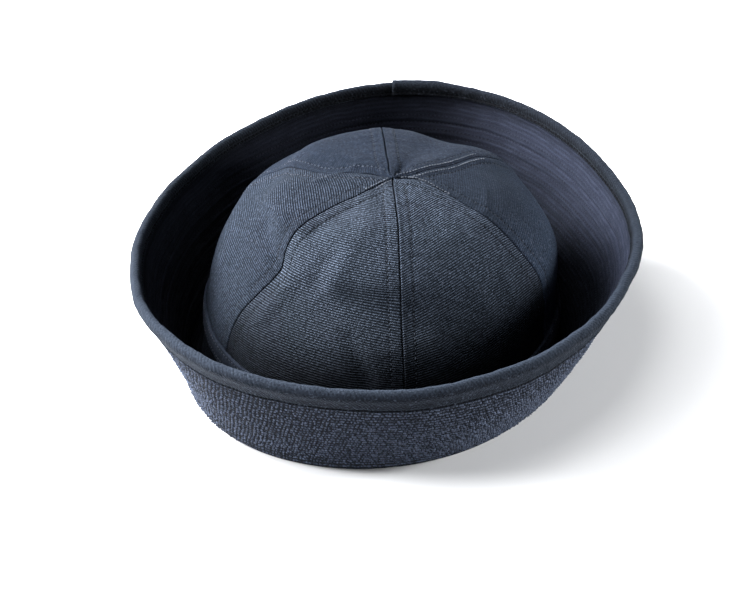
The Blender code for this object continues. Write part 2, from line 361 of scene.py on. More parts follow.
# A shader with the look's constants set on its own sockets
def startMaterial(name, look):
    material = bpy.data.materials.new(name)
    material.use_nodes = True
    shader = material.node_tree.nodes["Principled BSDF"]
    shader.inputs["Specular IOR Level"].default_value = look["gloss"]
    shader.inputs["Sheen Weight"].default_value = look["sheen"]
    shader.inputs["Sheen Roughness"].default_value = look["sheenSpread"]
    shader.inputs["Sheen Tint"].default_value = (*look["sheenTint"], 1.0)
    return material, material.node_tree, shader


yarnShift = 7.31  # between the noise of neighbouring ribs, so that their yarns differ
fibreRange, fleckRange, cloudRange = (0.30, 0.70), (0.60, 0.78), (0.3, 0.7)  # of their noise
roughnessSpread = 0.06  # smoother on the ribs and rougher between them
foldCore, holeCore, holeFull = 0.4, 0.3, 0.85  # fully dark shares of their widths, and of a cosine
highlightBetween, highlightOnRibs = 0.4, 1.2  # painted highlight's share everywhere, and what the ribs' height adds


# Corded cloth: ribs are cosine bands across one direction of the lie, which may be turned
# for a bias cut, wavering slowly, and a power makes them narrower than the gaps. A knot pitch
# crosses them with a second band, so they break into a lattice of knots. Along each rib,
# yarns of random lightness follow each other, and finer fibres run over everything. Rib,
# yarn and fibre add up to the height, which sets the colour between dark and light and the
# relief.
def ribHeight(tree, lie, place, look):
    turned = addNode(tree, "ShaderNodeMapping", {
        "Vector": lie, "Rotation": (0, 0, np.radians(look["biasTurn"]))}).outputs[0]
    split = axes(tree, turned)
    across, along = split[1 - look["ribAlong"]], split[look["ribAlong"]]
    slow = times(tree, noise(tree, place, look["waverScale"]), look["waver"])
    turns = maths(tree, "ADD", times(tree, across, 1 / (look["ribPitch"] * mm)), slow)
    band = cosineOfTurns(tree, turns)
    if look["knotPitch"]:
        knots = maths(tree, "ADD", times(tree, along, 1 / (look["knotPitch"] * mm)), slow)
        band = times(tree, band, cosineOfTurns(tree, knots))
    rib = maths(tree, "POWER", maths(tree, "MULTIPLY_ADD", band, 0.5, 0.5), look["ribSharp"])
    number = maths(tree, "FLOOR", maths(tree, "ADD", turns, 0.5))
    yarnPlace = addNode(tree, "ShaderNodeCombineXYZ", {
        0: times(tree, along, 1 / (look["yarn"] * mm)), 1: times(tree, number, yarnShift)}).outputs[0]
    yarn = spread(tree, noise(tree, yarnPlace, 1.0, 1.0), *look["yarnRange"])
    fibre = noise(tree, place, 1 / (look["fibre"] * mm), 2.0, 0.6)
    fibre = spread(tree, fibre, *fibreRange)
    broken = times(tree, rib, maths(tree, "MULTIPLY_ADD", yarn, look["break"], 1 - look["break"]))
    return maths(tree, "ADD", times(tree, broken, look["ribShare"]),
                 times(tree, fibre, 1 - look["ribShare"]))


# How much of the cloth is free of painted shade: near a sewn line, shade is painted in the fold
# and in the needle's holes, which a cosine of the stitches' number sets at every stitch
def clearShare(tree, look):
    fromSeam, stitches, _ = axes(tree, addNode(tree, "ShaderNodeUVMap", uv_map="sewnLie").outputs[0])
    foldWidth, foldShade = look["fold"]
    holeAt, holeWidth, holeShade = look["holes"]
    fold = spread(tree, fromSeam, foldWidth * mm, foldCore * foldWidth * mm)
    offLine = maths(tree, "ABSOLUTE", maths(tree, "SUBTRACT", fromSeam, holeAt * mm))
    hole = times(tree, spread(tree, offLine, holeWidth * mm, holeCore * holeWidth * mm),
                 spread(tree, cosineOfTurns(tree, stitches), 0.0, holeFull))
    return times(tree, maths(tree, "MULTIPLY_ADD", fold, -foldShade, 1.0),
                 maths(tree, "MULTIPLY_ADD", hole, -holeShade, 1.0))


# Cloth's colour: dark to light by the height of rib and fibre, then lighter flecks, times a
# broad cloud of tone. Between two distances along the lie a paler painted highlight is mixed
# in, stronger on the ribs. The painted fade, painted shade and light along one axis of the
# object, multiplies the tone, and the painted shade of the sewn lines is mixed in last.
def clothMaterial(name, look):
    material, tree, shader = startMaterial(name, look)
    lie = addNode(tree, "ShaderNodeUVMap", uv_map="clothLie").outputs[0]
    place = addNode(tree, "ShaderNodeTexCoord").outputs["Object"]
    height = ribHeight(tree, lie, place, look)
    colour = blendColour(tree, height, look["dark"], look["light"])
    fleck = spread(tree, noise(tree, place, look["fleckScale"], 1.0), *fleckRange)
    colour = blendColour(tree, times(tree, fleck, look["fleck"]), colour, look["fleckColour"])
    tone = spread(tree, noise(tree, place, look["cloudScale"], 3.0), *cloudRange)
    tone = blendColour(tree, tone, look["cloudLow"], look["cloudHigh"])
    colour = blendColour(tree, look["cloud"], colour, tone, "MULTIPLY")
    # painted highlight: a paler band between two distances along the lie, where light falls on the
    # binding's roll and on the top of the brim's inner wall
    if look["paintedHighlight"]:
        start, full, fade, end, amount = look["paintedHighlight"]
        depth = axes(tree, lie)[1]
        highlightShare = times(tree, spread(tree, depth, start * mm, full * mm),
                    spread(tree, depth, end * mm, fade * mm))
        highlightShare = times(tree, highlightShare, maths(tree, "MULTIPLY_ADD", height, highlightOnRibs * amount,
                                     highlightBetween * amount))
        colour = blendColour(tree, highlightShare, colour, look["highlightColour"])
    # painted fade: the tone is darkened or lightened along one axis of the object as painted shade and
    # light
    fadeStart, fadeEnd, *tones = look["fade"]
    paintedShadeTone = spread(tree, axes(tree, place)[look["fadeAxis"]], fadeStart * mm, fadeEnd * mm, *tones)
    colour = blendColour(tree, 1.0, colour, paintedShadeTone, "MULTIPLY")
    # painted shade in the fold along each sewn line and in the needle's holes
    clear = clearShare(tree, look)
    colour = blendColour(tree, clear, look["shadeColour"], colour)
    tree.links.new(colour, shader.inputs["Base Color"])
    rough = spread(tree, height, 0.0, 1.0, look["roughness"] + roughnessSpread,
                   look["roughness"] - roughnessSpread)
    tree.links.new(rough, shader.inputs["Roughness"])
    raiseSurface(tree, shader, times(tree, height, clear), look["bump"], look["relief"])
    return material


# Thread: fine noise for its fibres and broader noise for patches set its colour between dark
# and light by their mean, and the fibres raise it
def threadMaterial(name, look):
    material, tree, shader = startMaterial(name, look)
    place = addNode(tree, "ShaderNodeTexCoord").outputs["Object"]
    fibre = noise(tree, place, look["fibreScale"], 2.0)
    patch = noise(tree, place, look["patchScale"], 1.0)
    mean = maths(tree, "ADD", times(tree, fibre, 0.5), times(tree, patch, 0.5))
    colour = blendColour(tree, spread(tree, mean, *look["range"]), look["dark"], look["light"])
    tree.links.new(colour, shader.inputs["Base Color"])
    shader.inputs["Roughness"].default_value = look["roughness"]
    raiseSurface(tree, shader, fibre, look["bump"], look["relief"])
    return material


stageLook = {
    "aim": (-5.6, -3.1, 29.1),  # mm
    "azimuth": -4.5, "elevation": 34.5, "distance": 1.0, "lens": 94.8, "sensor": 36.0,
    "floorColour": (0.785, 0.797, 0.815), "floorPatches": 0.985, "floorPatchScale": 8.0,
    "floorRoughness": 0.7, "floorGloss": 0.1, "floorReach": 3.0, "floorSink": 0.02,  # reach in metres
    "worldLight": 0.0,  # the lamps alone light it
    "lightDistance": 1.3, "lightSize": 0.45,
    # bearing, elevation and power of each light
    "lights": {
        "keyBackLeft": (150.0, 28.0, 82.0), "keyAbove": (150.0, 42.0, 46.0), "keyLow": (135.0, 10.0, 8.0),
        "lowRight": (0.0, 10.0, 43.0), "lowLeft": (180.0, 18.0, 41.0), "lowFront": (270.0, 10.0, 8.5),
        "highFrontLeft": (210.0, 54.0, 8.0), "topFront": (240.0, 68.0, 7.0), "topLeft": (180.0, 68.0, 1.2),
    },
}


# Unit vector towards a place at a bearing and an elevation
def towards(bearing, elevation):
    b, e = np.radians([bearing, elevation])
    return Vector((np.cos(b) * np.cos(e), np.sin(b) * np.cos(e), np.sin(e)))


# Camera and round lights on lines towards the cap, the floor just under it and a dark world
def buildStage(look):
    def place(thing, centre, direction, distance):
        thing.location = centre + direction * distance
        thing.rotation_euler = direction.to_track_quat("Z", "Y").to_euler()
    camera = addObject("photoCamera", bpy.data.cameras.new("photoCamera"))
    back = towards(look["azimuth"] - 90, look["elevation"])
    place(camera, Vector(look["aim"]) * mm, back, look["distance"])
    camera.data.lens, camera.data.sensor_width = look["lens"], look["sensor"]
    bpy.context.scene.camera = camera
    for name, (bearing, elevation, power) in look["lights"].items():
        light = addObject(name, bpy.data.lights.new(name, "AREA"))
        light.data.shape, light.data.size, light.data.energy = "DISK", look["lightSize"], power
        place(light, Vector(), towards(bearing, elevation), look["lightDistance"])
        light.visible_camera = False
    bpy.context.scene.view_settings.view_transform = "Standard"
    world = bpy.data.worlds.new("studio")
    world.use_nodes = True
    world.node_tree.nodes["Background"].inputs[1].default_value = look["worldLight"]
    bpy.context.scene.world = world
    mesh = bpy.data.meshes.new("paleFloor")
    reach, sink = look["floorReach"], -look["floorSink"] * mm
    mesh.from_pydata([(-reach, -reach, sink), (reach, -reach, sink), (reach, reach, sink),
                      (-reach, reach, sink)], [], [(0, 1, 2, 3)])
    material = bpy.data.materials.new("paleFloorPaint")
    material.use_nodes = True
    tree = material.node_tree
    shader = tree.nodes["Principled BSDF"]
    spot = addNode(tree, "ShaderNodeTexCoord").outputs["Object"]
    darker = tuple(c * look["floorPatches"] for c in look["floorColour"])
    tone = blendColour(tree, noise(tree, spot, look["floorPatchScale"]), look["floorColour"], darker)
    tree.links.new(tone, shader.inputs["Base Color"])
    shader.inputs["Roughness"].default_value = look["floorRoughness"]
    shader.inputs["Specular IOR Level"].default_value = look["floorGloss"]
    mesh.materials.append(material)
    floor = addObject("paleFloor", mesh)


buildStage(stageLook)
print("stage built")

crownShape = {
    # height, reach to the right, back, left and front, and the swell at the back right and the
    # front left
    "rings": ((25.0, 84.5, 94.5, 94.0, 93.5, 2.0), (41.0, 83.0, 95.0, 93.0, 96.0, 3.0),
              (58.0, 82.5, 96.5, 88.0, 88.5, 1.0), (72.0, 78.5, 91.0, 76.5, 72.0, -3.5),
              (84.0, 69.5, 77.0, 64.5, 64.0, -1.0), (93.0, 57.5, 65.5, 56.5, 52.0, -1.0),
              (100.0, 33.5, 37.0, 32.5, 36.5, -1.0), (103.4, 16.0, 17.5, 13.5, 18.0, 0.0)),
    "apexHeight": 103.5, "apexBack": -6.1, "apexHole": 0.5, "heart": (0.0, 0.0, 42.0),
    # bearing, height, reach round, reach up, depth inwards
    "dents": ((150.0, 94.0, 11.0, 9.0, 3.0), (62.0, 92.0, 13.0, 12.0, 2.5),
              (36.0, 88.0, 12.0, 12.0, -2.5), (300.0, 60.0, 14.0, 26.0, 1.0),
              (240.0, 62.0, 12.0, 26.0, 0.4), (190.0, 55.0, 13.0, 22.0, 2.5),
              (126.0, 96.0, 11.0, 7.0, -1.0)),
    # seams' bearings at levels from the foot to the apex
    "pathLevels": (0.0, 0.25, 0.40, 0.55, 0.65, 0.75, 0.85, 0.93, 1.0),
    "seams": {"backRight": (28.0, 28.0, 28.5, 30.0, 30.5, 25.5, 21.5, 14.0, 5.0),
              "back": (88.0, 89.0, 89.5, 90.0, 90.3, 91.0, 93.0, 96.0, 110.0),
              "backLeft": (150.0, 147.0, 143.0, 144.5, 150.0, 156.0, 153.0, 150.0, 165.0),
              "frontLeft": (209.5, 211.5, 213.0, 210.0, 210.2, 211.3, 217.0, 216.0, 205.0),
              "front": (269.0, 268.5, 268.5, 268.5, 268.7, 269.0, 268.2, 267.0, 262.0),
              "frontRight": (328.0, 326.5, 325.5, 325.5, 326.5, 329.0, 336.5, 352.0, 360.0)},
    # node that each gore replaces, and the seams where it starts and ends
    "gores": {"gore_right": ("crown_panel_right", "frontRight", "backRight"),
              "gore_back_right": ("crown_panel_back_right", "backRight", "back"),
              "gore_back_left": ("crown_panel_back_left", "back", "backLeft"),
              "gore_left": ("crown_panel_left", "backLeft", "frontLeft"),
              "gore_front_left": ("crown_panel_front_left", "frontLeft", "front"),
              "gore_front_right": ("crown_panel_front_right", "front", "frontRight")},
    "paleStitches": ("backLeft",),  # the other seams are sewn with dark thread
    # gore and seam tacked near the apex, the level where its tacks start and their distance
    # from the seam
    "tacks": {("gore_right", "backRight"): (0.60, 2.4), ("gore_back_right", "backRight"): (0.62, 2.4),
              ("gore_left", "frontLeft"): (0.86, 1.3), ("gore_front_left", "frontLeft"): (0.90, 1.3),
              ("gore_right", "frontRight"): (0.78, 0.55)},
    # degrees by which the cloth's ribs fall to the right across each gore, below the first and
    # above the second of the levels
    "grainTurn": {"gore_front_left": (2.0, 2.0), "gore_front_right": (-7.5, -7.5),
                  "gore_left": (-9.0, 10.0)},
    "grainLevels": (0.3, 0.85), "grainArch": 0.6,
    # soft folds: places on the line, width and rise, in mm
    "folds": (
        (((-37.4, 1.2, 99.1), (-30.0, 3.8, 100.0), (-21.4, 7.3, 100.4), (-16.4, 10.0, 102.0)), 2.0, 0.9),
        (((-66.0, 20.0, 82.0), (-62.8, 10.4, 85.0), (-54.0, -19.0, 92.5)), 5.0, 1.3),
        (((-63.7, -14.4, 82.7), (-59.9, -29.0, 81.6), (-56.6, -38.9, 77.1)), 5.5, -1.8),
        (((-84.3, -7.3, 60.6), (-77.6, -21.8, 64.5), (-71.1, -33.9, 67.1)), 6.0, 0.9),
        (((-53.8, -48.4, 71.9), (-58.3, -50.7, 68.0), (-66.2, -55.6, 61.5)), 5.0, 1.3),
        (((-22.4, -27.7, 100.3), (-40.5, -36.6, 93.9)), 5.0, -1.0),
        (((-40.5, -36.6, 93.9), (-31.9, -49.1, 90.4), (-39.8, -54.6, 79.3)), 5.0, -1.2),
        (((-15.3, -40.7, 98.7), (-27.5, -53.3, 89.0), (-32.6, -59.5, 78.2)), 6.0, 0.9),
        (((-8.6, -15.8, 103.5), (-7.6, -21.8, 103.2), (-7.1, -26.6, 102.8)), 3.5, -0.8),
        (((8.0, -23.1, 103.2), (10.2, -25.4, 102.9)), 4.0, 0.5),
        (((13.0, -40.8, 99.5), (15.1, -43.6, 98.4)), 6.0, -1.2),
        (((44.3, -10.2, 97.6), (43.6, -19.9, 97.3), (42.5, -28.8, 96.7)), 1.8, 0.6),
        (((-26.2, -80.5, 62.5), (-23.1, -88.4, 56.6), (-19.8, -93.7, 48.8)), 4.5, -1.3),
        (((10.8, -81.7, 65.2), (14.1, -86.7, 60.1), (18.1, -89.8, 53.5)), 3.2, 0.9),
        (((19.1, -77.6, 67.6), (21.5, -82.4, 62.3), (24.5, -85.9, 56.0)), 3.2, -0.9),
        (((35.7, -65.7, 75.4), (38.4, -68.5, 69.9), (41.5, -71.5, 63.8)), 3.5, 0.9),
        (((46.4, -54.0, 81.7), (49.9, -58.4, 75.4), (54.1, -61.2, 67.4)), 3.5, 0.8),
    ),
    "cloth": 1.6, "columns": 78, "evenColumns": 0.35, "levels": 128, "goreLength": 150.0,
    "seamGap": 0.02, "seamWidth": 0.28, "stitchDip": 0.25, "stitchWidth": 0.7,
    # how far the allowances reach, how wide their turned edges are and how softly they end
    "allowance": 5.8, "allowanceTurned": 0.9, "allowanceSlope": 1.4,
    # inside: their thickness, how softly they end, how far the cloth follows the outer relief
    # and from where
    "allowanceInside": (0.8, 1.2, 0.6, 3.0),
    # rises of the turned edge after and before each seam and its place, the allowances' rise and
    # the seam's depth
    "seamEdges": {"backRight": (0.12, 0.12, 2.4, 0.10, 0.35), "back": (0.15, 0.15, 1.0, 0.40, 0.9),
                  "backLeft": (0.15, 0.15, 1.0, 0.15, 0.9), "frontLeft": (0.10, 0.05, 1.0, 0.14, 0.9),
                  "front": (0.45, 0.0, 0.9, 0.12, 0.9), "frontRight": (0.15, 0.0, 1.0, 0.10, 0.9)},
    "puckerDepth": 0.12, "puckerPitch": 8.0, "puckerDrift": 2.0, "puckerSpread": 30.0,
    # from the seam: where the puckers start and are full, their middle and reach
    "puckerOver": (1.0, 4.0, 5.0, 7.0),
    "wrinkles": ((0.15, 30.0, 5), (0.10, 11.0, 6)),  # rise, length and seed
}


# Distance from the axis of a ring of four quarter ellipses
def quarterEllipses(right, back, left, front, bearings):
    angle = np.radians(bearings)
    across = np.where(np.cos(angle) >= 0, right, left)
    along = np.where(np.sin(angle) >= 0, back, front)
    return 1 / np.hypot(np.cos(angle) / across, np.sin(angle) / along)


# Crown's smooth surface: rings of quarter ellipses joined by smooth curves from the foot,
# level 0, to the apex, level 1, and pushed towards the heart by bells at the dents. Bearings
# are one row for all the levels, or a row for each.
def crownSurface(bearings, levels, shape=crownShape):
    bearings = np.broadcast_to(bearings, (len(levels), np.shape(bearings)[-1]))
    rings = np.array(shape["rings"]) * mm
    angle = np.radians(bearings)
    points = []
    for row, (height, *sides, diagonal) in enumerate(rings):
        radius = quarterEllipses(*sides, bearings) + diagonal * np.sin(2 * angle)
        shift = shape["apexBack"] * mm * row / len(rings)
        points.append(ringPoints(radius, height, bearings) + (0, shift, 0))
    top = np.array([0.0, shape["apexBack"], shape["apexHeight"]]) * mm
    points = np.array(points + [0 * points[0] + top])
    radii = np.append(rings[:, 1:5].mean(axis=1), 0.0)
    steps = np.hypot(np.diff(radii), np.diff(np.append(rings[:, 0], top[2])))
    knots = runningSum(steps) / steps.sum()
    points = curveThrough(knots, points, levels, paired=True)
    outward = points - np.array(shape["heart"]) * mm
    outward /= np.linalg.norm(outward, axis=-1, keepdims=True)
    depth = 0
    for bearing, height, reachRound, reachUp, amount in shape["dents"]:
        depth = depth + amount * mm * bell(turnFrom(bearing, bearings), reachRound) * bell(
            points[..., 2] / mm - height, reachUp)
    for places, width, rise in shape["folds"]:
        depth = depth - rise * mm * bell(lineDistance(points, np.array(places) * mm), width * mm)
    return points - outward * depth[..., None]


# Gore: its sides follow the seams' paths, and its columns are closer beside them. Relief
# along the normal is the sum of the seam's groove, its turned edge, a slightly raised
# allowance up to the topstitching, the dip of the stitches, puckers that fade away from the
# seam, and two sizes of soft wrinkle. The cloth lies with its ribs across the gore, turned a
# little. Off the centre line they fall with the square of the distance, as on a flat piece
# that is bent to a dome.
def goreGrids(first, last, grainTurn, seed, shape=crownShape):
    t = np.linspace(0, 1, shape["columns"] + 1)
    even = shape["evenColumns"]
    share = even * t + (1 - even) * (0.5 - 0.5 * np.cos(np.pi * t))
    levels = np.linspace(0, 1 - shape["apexHole"] / shape["goreLength"], shape["levels"] + 1)
    pathLevels = np.array(shape["pathLevels"])
    start, end = (curveThrough(pathLevels, np.array(shape["seams"][seam]), levels)[:, None]
                  for seam in (first, last))
    startEdge, _, *startRest = shape["seamEdges"][first]
    _, endEdge, *endRest = shape["seamEdges"][last]
    base = crownSurface(start + (end - start) % 360 * share, levels)
    across = np.diff(base, axis=1)
    stride = np.linalg.norm(across, axis=-1)
    fromStart = runningSum(stride, 1)
    toEnd = fromStart[:, -1:] - fromStart
    climb = runningSum(np.linalg.norm(np.diff(base, axis=0), axis=-1))
    middle = climb[:, [len(t) // 2]]
    normal = gridNormals(base)
    relief = 0 * fromStart
    allowance, turnedWidth, slope = shape["allowance"], shape["allowanceTurned"], shape["allowanceSlope"]
    clear, full, over, reach = shape["puckerOver"]
    for near, edgeRise, (edgePlace, allowanceRise, depth), phase in (
            (fromStart, startEdge, startRest, 0.0), (toEnd, endEdge, endRest, 2.1)):
        d = near / mm
        relief -= depth * bell(d, shape["seamWidth"])
        relief += edgeRise * bell(d - edgePlace, turnedWidth)
        relief += allowanceRise * (1 - smoothStep(allowance - slope, allowance + slope, d))
        relief -= shape["stitchDip"] * bell(d - allowance, shape["stitchWidth"])
        waver = middle / mm * fullTurn / shape["puckerPitch"] + phase
        waver = waver + shape["puckerDrift"] * cloud(base, shape["puckerSpread"] * mm, seed)
        relief += shape["puckerDepth"] * np.cos(waver) * smoothStep(clear, full, d) * bell(d - over, reach)
    for rise, length, wrinkleSeed in shape["wrinkles"]:
        relief += rise * cloud(base, length * mm, wrinkleSeed)
    outer = base + normal * relief[..., None] * mm
    sideways = across / np.maximum(stride[..., None], 1e-9)
    gap = np.minimum(shape["seamGap"] * mm, fromStart[:, -1] * 0.2)[:, None]
    nearest = np.minimum(fromStart, toEnd) / mm
    thick, slope, follow, beyond = shape["allowanceInside"]
    ridge = 1 - smoothStep(allowance - slope, allowance + slope, nearest)
    inside = shape["cloth"] + thick * ridge - follow * relief * (nearest > beyond)
    inner = base - normal * inside[..., None] * mm
    for grid in (outer, inner):
        grid[:, 0] += sideways[:, 0] * gap
        grid[:, -1] -= sideways[:, -1] * gap
    radius = np.hypot(base[..., 0], base[..., 1])
    lean = np.clip(-np.gradient(radius, axis=0) / np.gradient(climb, axis=0), 0, 1)
    radius, lean = radius.mean(axis=1, keepdims=True), lean.mean(axis=1, keepdims=True)
    bends = np.vander(2 * share - 1, 4)
    climb = climb @ (bends @ np.linalg.pinv(bends)).T  # even, so that soft folds don't bend the ribs
    offCentre = (fromStart - toEnd) / 2
    arch = shape["grainArch"] * lean * offCentre ** 2 / np.maximum(2 * radius, 4 * mm)
    turn = np.interp(levels, shape["grainLevels"], grainTurn)[:, None]
    lie = np.stack([offCentre, climb + arch + np.tan(np.radians(turn)) * offCentre], axis=-1)
    return outer, inner, lie, fromStart, toEnd, levels


# Line on a gore at a distance from one seam, at every level where the gore is wide enough
def seamLine(grid, normals, distance, at):
    wide = distance.max(axis=1) > at
    grid, normals, distance = grid[wide], normals[wide], distance[wide]
    if distance[0, -1] < distance[0, 0]:
        grid, normals, distance = grid[:, ::-1], normals[:, ::-1], distance[:, ::-1]
    where = np.full((1, len(distance)), at)
    line, normal = (np.stack([downColumns(distance.T, values[..., i].T, where)[0]
                              for i in range(3)], axis=1) for values in (grid, normals))
    return line, normal, wide


# ribAlong is the axis of the lie that the ribs run along. Lengths are in mm, scales are noise
# cells in a metre, and colours are linear.
crownClothLook = {
    "dark": (0.000168, 0.000252, 0.000448), "light": (0.0280, 0.0392, 0.0595),
    "fleckColour": (0.0448, 0.0532, 0.0728), "shadeColour": (0.000224, 0.00028, 0.000504),
    "ribAlong": 0, "ribPitch": 1.19, "ribSharp": 1.3, "knotPitch": 0.0, "biasTurn": 0.0,
    "waver": 0.25, "waverScale": 60.0, "yarn": 1.5, "yarnRange": (0.38, 0.62), "break": 0.75,
    "fibre": 0.5, "ribShare": 0.85, "fleck": 0.5, "fleckScale": 800.0,
    "cloudScale": 35.0, "cloud": 0.7, "cloudLow": (0.80, 0.82, 0.84), "cloudHigh": (1.12, 1.10, 1.14),
    "roughness": 0.86, "gloss": 0.0336, "bump": 1.0, "relief": 0.65,
    "sheen": 0.0168, "sheenSpread": 0.45, "sheenTint": (0.58, 0.72, 1.0),
    # width and darkness of the painted shade in the fold along a seam, and the place, width and
    # darkness of the painted shade in the needle's holes
    "fold": (0.45, 0.85), "holes": (5.8, 0.75, 0.8),
    # on other pieces, the distances along the lie where the painted highlight starts, is full, starts to
    # fade and ends, and how much it shows
    "paintedHighlight": None,
    # number of the object's axis along which the painted fade changes the tone as painted shade and
    # light, the places where it starts and ends, and the tones there
    "fadeAxis": 2, "fade": (45.0, 85.0, 1.0, 1.0),
}
# what differs on each gore: the ribs stand out on the two front ones and are faint on the right and
# at the back. Their cloth is one, but its light colour is painted lighter on the front gores and darker
# on the right and back ones, as painted light and shade; the painted fade darkens the front gores
# towards the foot and lightens them towards the top, and lightens the right gore towards the foot
# and darkens it towards the top
goreLooks = {
    "gore_right": {"light": (0.0225, 0.0330, 0.0530), "relief": 0.40, "ribShare": 0.40, "fleck": 0.5,
                   "fold": (0.45, 0.4), "fade": (60.0, 95.0, 1.9, 0.72)},
    "gore_back_right": {"light": (0.0130, 0.0195, 0.0330), "relief": 0.35, "ribShare": 0.60, "fleck": 0.4,
                        "fold": (0.45, 0.4)},
    "gore_back_left": {"light": (0.0125, 0.0195, 0.0335), "relief": 0.35, "ribShare": 0.60, "fleck": 0.4},
    "gore_front_left": {"light": (0.0640, 0.0830, 0.1150), "relief": 1.2, "ribSharp": 1.9,
                        "break": 0.65, "ribShare": 0.92, "fade": (48.0, 84.0, 0.38, 1.5)},
    "gore_front_right": {"light": (0.0500, 0.0660, 0.0930), "relief": 1.0, "ribSharp": 1.8,
                         "break": 0.75, "ribShare": 0.90, "fade": (45.0, 84.0, 0.13, 1.45)},
}
crownThreadLook = {
    "dark": (0.0154, 0.0175, 0.0238), "light": (0.07, 0.0784, 0.0994),
    "fibreScale": 2500.0, "patchScale": 250.0,
    "range": (0.35, 0.65),  # noise below it is the dark colour, above it the light one
    "roughness": 0.7, "gloss": 0.056, "bump": 0.4, "relief": 0.1,
    "sheen": 0.014, "sheenSpread": 0.4, "sheenTint": (0.8, 0.85, 1.0),
}
topstitchLook = {"pitch": 2.35, "length": 1.3, "width": 0.50, "height": 0.42, "lift": 0.03,
                 "sides": 6, "rings": 3, "unevenness": 0.20, "slant": 0.05, "stray": 0.04, "seed": 11}
darkStitchLook = dict(topstitchLook, seed=17)
darkThreadLook = dict(crownThreadLook, dark=(0.0084, 0.0105, 0.0147), light=(0.0238, 0.0287, 0.0385))
tackLook = dict(topstitchLook, pitch=1.7, length=1.2, width=0.55, lift=0.10, unevenness=0.4, seed=15)

crownThread = threadMaterial("greyNavyThread", crownThreadLook)
tackThreadLook = dict(crownThreadLook, dark=(0.034, 0.040, 0.052), light=(0.095, 0.105, 0.127))
tackThread = threadMaterial("paleGreyThread", tackThreadLook)
darkThread = threadMaterial("slateThread", darkThreadLook)
paleStitches, darkStitches, tackStitches = [], [], []
for number, (goreName, (node, first, last)) in enumerate(crownShape["gores"].items()):
    grainTurn = crownShape["grainTurn"].get(goreName, (0.0, 0.0))
    goreLook = dict(crownClothLook, **goreLooks.get(goreName, {}))
    goreCloth = clothMaterial("cordedCloth_" + goreName, goreLook)
    outer, inner, lie, fromStart, toEnd, levels = goreGrids(first, last, grainTurn, 20 + number)
    normals = gridNormals(outer)
    numbers = []
    for seam, distance in ((first, fromStart), (last, toEnd)):
        line, normal, wide = seamLine(outer, normals, distance, crownShape["allowance"] * mm)
        kind = paleStitches if seam in crownShape["paleStitches"] else darkStitches
        kind.append(placesAlong(line, normal, topstitchLook["pitch"] * mm))
        along = stitchNumbers(line[None], topstitchLook["pitch"] * mm)[0]
        numbers.append(np.interp(levels, levels[wide], along))
        if (goreName, seam) in crownShape["tacks"]:
            lowest, fromSeam = crownShape["tacks"][goreName, seam]
            top = levels > lowest
            line, normal, wide = seamLine(outer[top], normals[top], distance[top], fromSeam * mm)
            tackStitches.append(placesAlong(line, normal, tackLook["pitch"] * mm))
    upTo = np.where(fromStart < toEnd, numbers[0][:, None], numbers[1][:, None])
    sewn = pairUp(np.minimum(fromStart, toEnd), upTo)
    gore = shellPiece(goreName, outer, inner, lie, (sewn, sewn), goreCloth)
    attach(gore, "root")
    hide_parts(node)
for pieceName, places, look, thread in (
        ("crown_pale_topstitching", paleStitches, topstitchLook, crownThread),
        ("crown_dark_topstitching", darkStitches, darkStitchLook, darkThread),
        ("apex_tack_stitches", tackStitches, tackLook, tackThread)):
    stitches = stitchPiece(pieceName, places, look, thread)
    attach(stitches, "root")
print("crown built")

footBandShape = {
    "bottom": 23.0, "top": 33.0, "radius": 93.0, "cloth": 1.2, "gap": 0.3, "inside": 0.1,
    "rows": 26, "columns": 360,
    "rise": (201.0, 30.0, 3.2),  # set on unevenly: bearing, reach and rise of the upper edge
    "edgeRound": 0.7, "puff": 0.25, "puffWidth": 0.22,  # the puff's width is a share of the height
    "stitchRows": (0.2, 0.84), "pitch": 2.5, "stitchDip": 0.25, "stitchWidth": 0.5,
    "ripple": 0.10,
    "footLevels": (0.22, 50),  # the crown's levels that the band follows: the highest, how many
}


# Band: it follows the crown's foot at a constant offset. Its edges are rounded by a quarter
# circle, and it puffs between its two rows of stitches, at shares of its height.
def footBandGrids(shape):
    bearings = evenBearings(shape["columns"])
    middle, reach, rise = shape["rise"]
    plain = shape["top"] - shape["bottom"]
    tall = plain + rise * bell(turnFrom(middle, bearings), reach)
    shares = np.linspace(0, 1, shape["rows"])[:, None]
    at = (shape["bottom"] + shares * tall) * mm
    levels = np.linspace(0, *shape["footLevels"])
    foot = crownSurface(bearings, levels)
    climbs = np.maximum(foot[..., 2], foot[:1, :, 2]) + levels[:, None] * 1e-9
    radius = np.hypot(foot[..., 0], foot[..., 1])
    radius = downColumns(climbs, radius, np.maximum(at, climbs[:1]))
    lower, upper = shape["stitchRows"]
    relief = shape["puff"] * bell(shares - (lower + upper) / 2, shape["puffWidth"])
    relief = relief - edgeDrop(np.minimum(shares, 1 - shares) * tall, shape["edgeRound"])
    for row in (lower, upper):
        relief -= shape["stitchDip"] * bell((shares - row) * tall, shape["stitchWidth"])
    relief += shape["ripple"] * ringNoise(bearings, shares * plain, 12, 60, 12.0, 31)
    outer = ringPoints(radius + (shape["gap"] + shape["cloth"] + relief) * mm, at, bearings)
    inner = ringPoints(radius + shape["inside"] * mm, at, bearings)
    turn = np.linspace(0, fullTurn, shape["columns"] + 1) * shape["radius"] * mm
    toRow = np.abs(shares - np.array([[lower, upper]]))
    rowSpots = toRow.argmin(axis=0)
    numbers = stitchNumbers(outer, shape["pitch"] * mm, True, rowSpots[toRow.argmin(axis=1)])
    away = toRow.min(axis=1)[:, None] * plain * mm
    return outer, inner, pairUp(turn, closeRing(at)), pairUp(away, numbers), rowSpots


